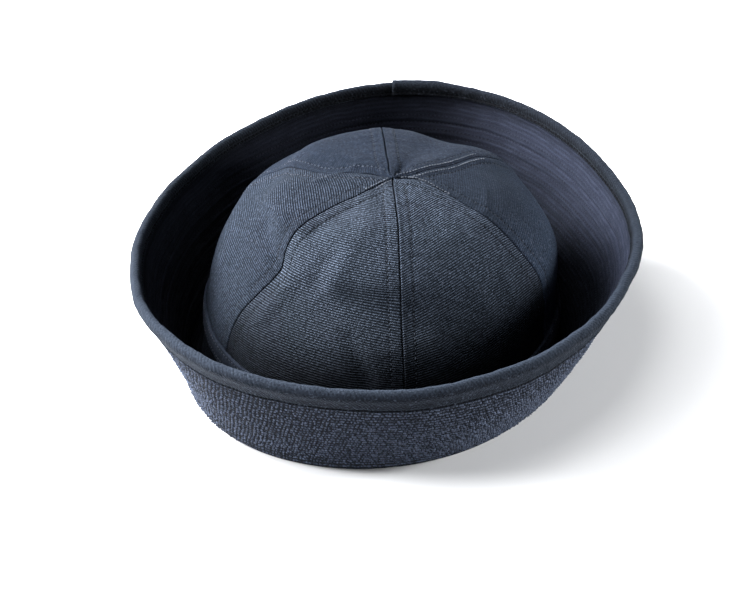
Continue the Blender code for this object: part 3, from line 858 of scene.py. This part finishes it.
# painted shade in the needle's holes along the band's two stitch rows
bandClothLook = dict(crownClothLook, ribAlong=1, ribPitch=1.1, ribShare=0.35, cloud=0.8, bump=0.6,
                     dark=(0.0045, 0.0060, 0.0092), light=(0.0280, 0.0360, 0.0530), relief=0.4,
                     fold=(0.2, 0.0), holes=(0.0, 0.7, 0.6))
bandStitchLook = dict(topstitchLook, pitch=footBandShape["pitch"], length=1.8, width=0.65, seed=12)

bandCloth = clothMaterial("navyBandCloth", bandClothLook)
outer, inner, lie, sewn, rowSpots = footBandGrids(footBandShape)
footBand = shellPiece("foot_band", outer, inner, lie, (sewn, sewn), bandCloth, ring=True)
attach(footBand, "root")
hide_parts("crown_foot_band")
normals = gridNormals(outer, ring=True)
bandStitches = stitchPiece("foot_band_stitches", [
    placesAlong(outer[row], normals[row], bandStitchLook["pitch"] * mm, ring=True)
    for row in rowSpots], bandStitchLook, tackThread)
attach(bandStitches, "root")
print("foot band built")

brimShape = {
    # bearing, reach of the fold, reach and height of the edge, belly of the wall
    "sections": ((0.0, 93.5, 121.5, 72.5, 3.0), (30.0, 99.0, 127.0, 73.0, 3.0),
                 (60.0, 104.5, 141.5, 73.5, 3.0), (90.0, 102.0, 140.0, 74.0, 3.0),
                 (120.0, 99.0, 123.5, 73.5, 2.0), (150.0, 99.5, 117.0, 73.5, 1.0),
                 (180.0, 103.0, 124.0, 72.5, -2.0), (210.0, 109.5, 137.5, 71.5, -0.5),
                 (240.0, 107.5, 140.5, 71.0, 1.5), (270.0, 99.5, 134.5, 70.0, 3.0),
                 (300.0, 92.5, 126.0, 69.5, 4.5), (330.0, 90.5, 122.0, 71.5, 1.5)),
    # the stand's heights and its shares of the way out to the fold
    "stand": ((24.3, 0.0), (18.0, 0.15), (12.0, 0.65), (7.5, 1.0), (4.8, 1.0)),
    # degrees down the fold's inner bend and up its outer one, and shares of the wall's slant
    "foldRound": 3.2, "foldFlat": 2.4, "foldInner": (0.0, 45.0, 90.0), "foldOuter": (90.0, 55.0, 20.0),
    "wallSteps": (0.18, 0.4, 0.62, 0.82, 1.0),
    "cloth": 2.2, "radius": 115.0, "columns": 360, "sectionSteps": 420,
    # the grid's rows: even steps over the stitched wall, then the fold and the stand
    "rowStep": 0.78, "stitchedRows": 88, "foldRows": 36,
    # rows of stitches inside and of grains outside, in row steps below the edge
    "firstRow": 20, "rowEvery": 5, "stitchRows": 14, "pitch": 2.2,
    "grainFirst": 17.6, "grainEvery": 3.25, "grainRows": 24, "grainCount": 430,
    # bearing and reach where the grains are longer, and the share that they gain
    "grainStretch": ((208.0, 34.0, 0.75), (338.0, 24.0, 0.45)),
    # where the quilting starts and ends, in row steps
    "quiltFrom": (14, 18), "quiltTo": (84, 90),
    # outer and inner face: puff between the stitch rows, dip at them and puckers along them
    "quiltPuff": (0.05, 0.30), "rowDip": (0.05, 0.50), "puckerDepth": (0.12, 0.10), "dipWidth": 0.75,
    "dipHolds": 0.6, "rowShift": 0.37,  # the dips hold the puckers down; each row starts elsewhere
    # soft ridges round the inner face, where they start and end in row steps, and the bearing
    # and reach where they stand, with the share of them elsewhere
    "innerRidge": 1.00, "innerRidgePitch": 8.2, "innerRidgeFrom": (16, 22), "innerRidgeTo": (70, 86),
    "innerRidgeOver": (10.0, 75.0, 0.2), "innerRidgeDrift": 1.2, "innerRidgeUneven": 0.4,
    "broadWave": 0.50, "fineWave": 0.14, "waveTo": (50, 66),  # mm below the edge where they end
}


# Under face of the brim in section, from the stand's top down, round the fold on the floor
# and up the wall: a smooth curve through the section's points, never below the floor
def brimSection(bearings, shape):
    base, edge, height, belly = (roundCurve(np.array(shape["sections"])[:, i] * mm, bearings)
                                 for i in (1, 2, 3, 4))
    foot = crownSurface(bearings, np.array([0.0]))[0]
    top = np.hypot(foot[:, 0], foot[:, 1]) - shape["cloth"] * mm
    bend, flat = shape["foldRound"] * mm, shape["foldFlat"] * mm
    radii, heights = [], []
    for climb, share in shape["stand"]:
        radii.append(top + (base - 2 * bend - flat - top) * share)
        heights.append(climb * mm + 0 * base)
    for angle in np.radians(shape["foldInner"]):
        radii.append(base - bend - flat - bend * np.cos(angle))
        heights.append(bend * (1 - np.sin(angle)) + 0 * base)
    for angle in np.radians(shape["foldOuter"]):
        radii.append(base - bend + bend * np.cos(angle))
        heights.append(bend * (1 - np.sin(angle)) + 0 * base)
    for step in shape["wallSteps"]:
        radii.append(base + (edge - base) * step + 4 * belly * step * (1 - step))
        heights.append(bend + (height - bend) * step)
    section = np.stack([radii, heights], axis=-1)
    lengths = np.linalg.norm(np.diff(section, axis=0), axis=-1).mean(axis=1)
    knots = runningSum(lengths) / lengths.sum()
    section = curveThrough(knots, section, np.linspace(0, 1, shape["sectionSteps"]))
    section[..., 1] = np.maximum(section[..., 1], 0)
    return section[..., 0], section[..., 1]


# Slow waves of the wall, outwards, at a distance below its edge, in mm
def wallWave(bearings, distance, shape):
    d = distance / mm
    wave = shape["broadWave"] * ringNoise(bearings, d, 4, 16, 160.0, 41)
    wave = wave + shape["fineWave"] * ringNoise(bearings, d, 22, 70, 26.0, 42, waves=40)
    return wave * (1 - smoothStep(*shape["waveTo"], d))


# Middle of the brim's cloth with its normal in section, at distances below the edge: half
# the cloth's thickness inside the under face, moved by the slow waves
def brimMiddle(bearings, distances, shape):
    radii, heights = brimSection(bearings, shape)
    lengths = runningSum(np.hypot(np.diff(radii, axis=0), np.diff(heights, axis=0)))
    at = lengths[-1] - distances
    along = np.gradient(radii, axis=0), np.gradient(heights, axis=0)
    size = np.hypot(*along)
    out, rise = along[1] / size, -along[0] / size
    radius, height, out, rise = (downColumns(lengths, values, at)
                                 for values in (radii, heights, out, rise))
    size = np.hypot(out, rise)
    out, rise = out / size, rise / size
    half = shape["cloth"] * mm / 2
    wave = wallWave(bearings[None], distances, shape) * mm
    return radius - out * (half - wave), height - rise * (half - wave), out, rise


# Distances below the edge for each row of the grid: even steps over the stitched wall, then
# the rest of each column's length shared out over the fold and the stand
def brimDistances(bearings, shape):
    radii, heights = brimSection(bearings, shape)
    total = np.hypot(np.diff(radii, axis=0), np.diff(heights, axis=0)).sum(axis=0)
    even = np.arange(shape["stitchedRows"] + 1) * shape["rowStep"] * mm
    rest = np.linspace(0, 1, shape["foldRows"] + 1)[1:, None] * (total - even[-1]) + even[-1]
    return np.concatenate([np.repeat(even[:, None], len(bearings), axis=1), rest])[::-1]


# Both faces of the brim: each is the mid surface moved half the cloth's thickness plus its
# relief, which dips at each stitch row, puffs between the rows and puckers along them, and
# waves in soft ridges inside. sewn is the distance from the nearest stitch row and the
# stitches up to there.
def brimGrids(shape):
    bearings = evenBearings(shape["columns"])
    distances = brimDistances(bearings, shape)
    radius, height, out, rise = brimMiddle(bearings, distances, shape)
    below = distances / mm
    steps = below / shape["rowStep"]
    stitched = smoothStep(*shape["quiltFrom"], steps) * (1 - smoothStep(*shape["quiltTo"], steps))
    row = np.clip(np.round((steps[:, 0] - shape["firstRow"]) / shape["rowEvery"]),
                  0, shape["stitchRows"] - 1).astype(int)
    toRow = np.abs(steps - shape["firstRow"] - row[:, None] * shape["rowEvery"]) * shape["rowStep"]
    rows = np.arange(shape["stitchRows"])
    rowSpots = len(distances) - 1 - shape["firstRow"] - rows * shape["rowEvery"]
    starts = rows * shape["rowShift"] % 1
    dip = bell(toRow, shape["dipWidth"])
    faces, sewn = [], []
    for side, seed, puff, rowDip, depth in zip((1, -1), (51, 52), shape["quiltPuff"], shape["rowDip"],
                                               shape["puckerDepth"]):
        pucker = ringNoise(bearings, below, 70, 190, 7.0, seed, waves=60)
        relief = stitched * (puff - rowDip * dip + depth * pucker * (1 - shape["dipHolds"] * dip))
        if side < 0:
            drift = shape["innerRidgeDrift"] * ringNoise(bearings, below, 1, 9, 90.0, 55)
            ridges = np.cos(below * fullTurn / shape["innerRidgePitch"] + drift)
            middle, reach, least = shape["innerRidgeOver"]
            uneven = shape["innerRidgeUneven"]
            strength = 1 - uneven + uneven * ringNoise(bearings, below, 3, 14, 30.0, 56)
            strength = strength * (least + (1 - least) * bell(turnFrom(middle, bearings), reach))
            strength = strength * smoothStep(*shape["innerRidgeFrom"], steps)
            strength = strength * (1 - smoothStep(*shape["innerRidgeTo"], steps))
            relief = relief + shape["innerRidge"] * ridges * strength
        offset = side * (shape["cloth"] / 2 + relief) * mm
        face = ringPoints(radius + out * offset, np.maximum(height + rise * offset, 0), bearings)
        numbers = stitchNumbers(face, shape["pitch"] * mm, True, rowSpots[row])
        faces.append(face)
        sewn.append(pairUp(closeRing(toRow) * mm, numbers - starts[row][:, None] + 0.5))
    turn = np.linspace(0, fullTurn, shape["columns"] + 1) * shape["radius"] * mm
    return faces, pairUp(turn, closeRing(distances)), sewn, rowSpots, starts


# Line at a row of a grid of points, which may lie between two of its rows: they are mixed by
# how near each is
def rowLine(grid, row):
    low = int(row)
    return grid[low] * (low + 1 - row) + grid[low + 1] * (row - low)


brimClothLook = dict(
    crownClothLook, ribAlong=1, ribPitch=2.2, ribSharp=1.5, knotPitch=3.9, ribShare=0.6, waver=1.3,
    waverScale=240.0, yarn=1.6, dark=(0.00015, 0.0002, 0.00035), light=(0.0055, 0.0070, 0.0112),
    relief=1.0, fleck=0.15, fold=(0.1, 0.0), holes=(0.0, 0.8, 0.0))
# inside: a paler painted highlight near the edge, painted shade in the needle's holes, and a painted fade
# that darkens the inner wall as painted shade, least at the right
brimInnerLook = dict(brimClothLook, ribAlong=0, knotPitch=0.0, ribPitch=2.4, ribShare=0.45, waver=1.2,
                     waverScale=45.0, yarn=8.0, light=(0.0140, 0.0178, 0.0300), relief=0.6, fleck=0.2,
                     holes=(0.0, 0.8, 0.3), paintedHighlight=(3.0, 10.0, 20.0, 48.0, 0.7),
                     highlightColour=(0.0300, 0.0360, 0.0600), fadeAxis=0, fade=(40.0, 115.0, 0.24, 0.66))
brimThreadLook = dict(crownThreadLook, dark=(0.0050, 0.0062, 0.0096), light=(0.0500, 0.0620, 0.0930),
                      patchScale=500.0, range=(0.34, 0.64))
innerThreadLook = dict(crownThreadLook, dark=(0.0028, 0.0035, 0.0056), light=(0.0140, 0.01575, 0.0238))
# the quilting shows as rows of plump grains outside and as slim stitches in soft furrows inside
grainLook = {"pitch": brimShape["pitch"], "count": brimShape["grainCount"],
             "length": 1.35, "width": 1.50, "height": 1.20, "lift": 0.0, "sides": 4, "rings": 2,
             "unevenness": 0.33, "slant": -0.35, "stray": 0.17, "seed": 13}
innerStitchLook = dict(grainLook, count=None, length=1.2, width=0.40, height=0.30,
                       unevenness=0.25, slant=0.1, stray=0.05, seed=16)

brimCloth = clothMaterial("navyBrimCloth", brimClothLook)
brimInner = clothMaterial("navyBrimInnerCloth", brimInnerLook)
faces, lie, sewn, rowSpots, starts = brimGrids(brimShape)
brim = shellPiece("brim_folded_cloth", *faces, lie, sewn, brimCloth, ring=True)
brim.data.materials.append(brimInner)
inward = (faces[0].shape[0] - 1) * faces[0].shape[1]
materialNumbers = np.zeros(len(brim.data.polygons), int)
materialNumbers[inward:2 * inward] = 1
brim.data.polygons.foreach_set("material_index", materialNumbers)
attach(brim, "root")
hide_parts("brim", "brim_inner_stand")
grainRows = np.arange(brimShape["grainRows"])
grainLines = len(faces[0]) - 1 - brimShape["grainFirst"] - grainRows * brimShape["grainEvery"]
# each row starts about a third of a grain further back, so the grains stand in slanting lines
grainStarts = (-0.32 * grainRows + 0.12 * np.sin(0.9 * grainRows)) % 1
bearings = evenBearings(brimShape["columns"])
grainStretch = 1 + sum(more * bell(turnFrom(bearing, bearings), reach)
                       for bearing, reach, more in brimShape["grainStretch"])
for pieceName, face, flip, rows, rowStarts, stretch, look, threadLook in (
        ("brim_outside_stitches", faces[0], 1, grainLines, grainStarts, grainStretch,
         grainLook, brimThreadLook),
        ("brim_inside_stitches", faces[1], -1, rowSpots.astype(float), starts, 1.0,
         innerStitchLook, innerThreadLook)):
    normals = gridNormals(face, ring=True) * flip
    stitches = stitchPiece(pieceName, [
        placesAlong(rowLine(face, row), rowLine(normals, row), look["pitch"] * mm, start, True,
                    look["count"], stretch)
        for row, start in zip(rows, rowStarts)], look, threadMaterial(pieceName + "_thread", threadLook))
    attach(stitches, "root")
print("brim built")

bindingShape = {
    "outerLeg": 12.0, "innerLeg": 4.6, "cloth": 1.0, "gap": 0.2, "inside": 0.05, "radius": 130.0,
    "columns": 600,
    # rows over the outer edge, which is this wide, over the rest of the outer leg, the roll and
    # the inner leg
    "edgeWidth": 3.2, "edgeSamples": 11, "outerSamples": 14, "rollSamples": 12, "innerSamples": 12,
    # the join: its bearing, how far the ends overlap, the upper end's rise in mm, and the
    # degrees before its end over which it goes back to none
    "joinBearing": 85.0, "underlap": 3.4, "raise": 1.1, "raiseOver": (9.0, 17.0),
    "endBead": (0.25, 1.2, 0.9),  # the turned end's rise, place and width
    "edgeRound": 0.7, "stitchFromEdge": 1.6, "stitchDip": 0.75, "stitchWidth": 0.55, "pitch": 2.8,
    "swell": (11.0, 3.2, 0.80),  # place, width and rise of the swell outside, just below the roll
    "ropeDepth": 0.05, "ropePitch": 6.5, "ropeDrift": 2.5, "ropeFrom": (2.0, 5.0),
    "ripple": 0.12,
}


# Binding: along the section it climbs the outer leg, turns half a circle over the brim's
# edge and goes down the inner leg. Its faces lie at two offsets from the wall's mid surface.
# Relief rounds both raw edges, dips at the edge stitches, swells and ropes it with slanting
# ripples. Near the join the upper end is raised by its own thickness over the lower one.
def bindingGrids(shape, brimLook=brimShape):
    first = shape["joinBearing"] - shape["underlap"]
    bearings = np.linspace(first, shape["joinBearing"] + 360.0, shape["columns"] + 1)
    outerLeg, edgeEnd = shape["outerLeg"], shape["outerLeg"] - shape["edgeWidth"]
    outerRun = np.concatenate([np.linspace(outerLeg, edgeEnd, shape["edgeSamples"])[:-1],
                               np.linspace(edgeEnd, 0, shape["outerSamples"])])
    innerRun = np.linspace(0, shape["innerLeg"], shape["innerSamples"])
    turns = np.linspace(90, -90, shape["rollSamples"])[1:-1]
    distances = np.concatenate([outerRun, 0 * turns, innerRun])
    tilt = np.concatenate([0 * outerRun + 90, turns, 0 * innerRun - 90])
    rows = np.repeat(distances[:, None], len(bearings), axis=1) * mm
    radius, height, out, rise = brimMiddle(bearings, rows, brimLook)
    lean, climb = -rise, out  # up the wall
    lying, standing = np.sin(np.radians(tilt))[:, None], np.cos(np.radians(tilt))[:, None]
    outward = out * lying + lean * standing, rise * lying + climb * standing
    roll = shape["cloth"] + shape["gap"] + brimLook["cloth"] / 2
    run = outerLeg + np.radians(90 - tilt) * roll
    run = (run + np.where(tilt == 90, -distances, 0) + np.where(tilt == -90, distances, 0))[:, None]
    edge = np.minimum(run, run[-1] - run)
    around = np.radians(bearings[None]) * shape["radius"]
    rope = np.cos(fullTurn * (around + run) / shape["ropePitch"]
                  + shape["ropeDrift"] * ringNoise(bearings, run, 3, 24, 30.0, 61))
    relief = shape["ropeDepth"] * rope * smoothStep(*shape["ropeFrom"], edge)
    relief = relief - edgeDrop(edge, shape["edgeRound"])
    relief = relief - shape["stitchDip"] * bell(edge - shape["stitchFromEdge"], shape["stitchWidth"])
    relief = relief + shape["ripple"] * ringNoise(bearings, run, 30, 90, 12.0, 63)
    swellPlace, swellWidth, swellRise = shape["swell"]
    relief = relief + swellRise * bell(run - swellPlace, swellWidth)
    beadRise, beadPlace, beadWidth = shape["endBead"]
    beforeEnd = np.radians(bearings[-1] - bearings) * shape["radius"]
    relief = relief + beadRise * bell(beforeEnd - beadPlace, beadWidth)
    lift = shape["raise"] * (1 - smoothStep(*shape["raiseOver"], bearings[-1] - bearings))
    def face(offset):
        offset = offset * mm
        return ringPoints(radius + outward[0] * offset, height + outward[1] * offset, bearings)
    outer = face(roll + relief + lift)
    inner = face(roll - shape["cloth"] + shape["inside"] + lift + 0 * relief)
    halves = run[:, 0] < run.mean(), run[:, 0] >= run.mean()
    toStitches = np.abs(edge[:, 0] - shape["stitchFromEdge"])
    rowSpots = np.array([np.where(half, toStitches, np.inf).argmin() for half in halves])
    numbers = stitchNumbers(outer, shape["pitch"] * mm, countFrom=rowSpots[halves[1].astype(int)])
    return outer, inner, pairUp(around * mm, run * mm), pairUp(edge * mm, numbers), rowSpots


# the binding's paler band over the roll is a painted highlight, its painted fade darkens it towards the
# back as painted shade, and its edge stitching has painted shade in the needle's holes
bindingClothLook = dict(
    crownClothLook, ribPitch=1.6, ribSharp=1.0, ribShare=0.38, biasTurn=60.0, waver=0.9, fibre=0.8,
    bump=1.0, relief=0.5, dark=(0.0004, 0.0006, 0.0010), light=(0.0026, 0.0041, 0.0069), fleck=0.5,
    cloudScale=140.0, cloud=0.8, cloudLow=(0.84, 0.85, 0.87), cloudHigh=(1.12, 1.12, 1.13), sheen=0.04,
    fold=(0.1, 0.0), holes=(bindingShape["stitchFromEdge"], 0.9, 0.85),
    paintedHighlight=(12.0, 15.0, 17.5, 20.5, 1.0), highlightColour=(0.0152, 0.0202, 0.0296),
    fadeAxis=1, fade=(-100.0, 40.0, 1.0, 0.42))
bindingStitchLook = dict(topstitchLook, pitch=bindingShape["pitch"], length=2.2, width=0.60, height=0.36,
                         lift=-0.05, unevenness=0.12, slant=0.0, stray=0.0, seed=14)
bindingThreadLook = dict(crownThreadLook, dark=(0.00112, 0.0014, 0.00224),
                         light=(0.00392, 0.00476, 0.00672))

bindingCloth = clothMaterial("navyBindingCloth", bindingClothLook)
bindingThread = threadMaterial("darkNavyThread", bindingThreadLook)
outer, inner, lie, sewn, rowSpots = bindingGrids(bindingShape)
binding = shellPiece("binding_strip", outer, inner, lie, (sewn, sewn), bindingCloth)
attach(binding, "root")
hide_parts("brim_edge_binding")
normals = gridNormals(outer)
bindingStitches = stitchPiece("binding_stitches", [
    placesAlong(outer[row], normals[row], bindingStitchLook["pitch"] * mm) for row in rowSpots],
    bindingStitchLook, bindingThread)
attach(bindingStitches, "root")
print("binding built")
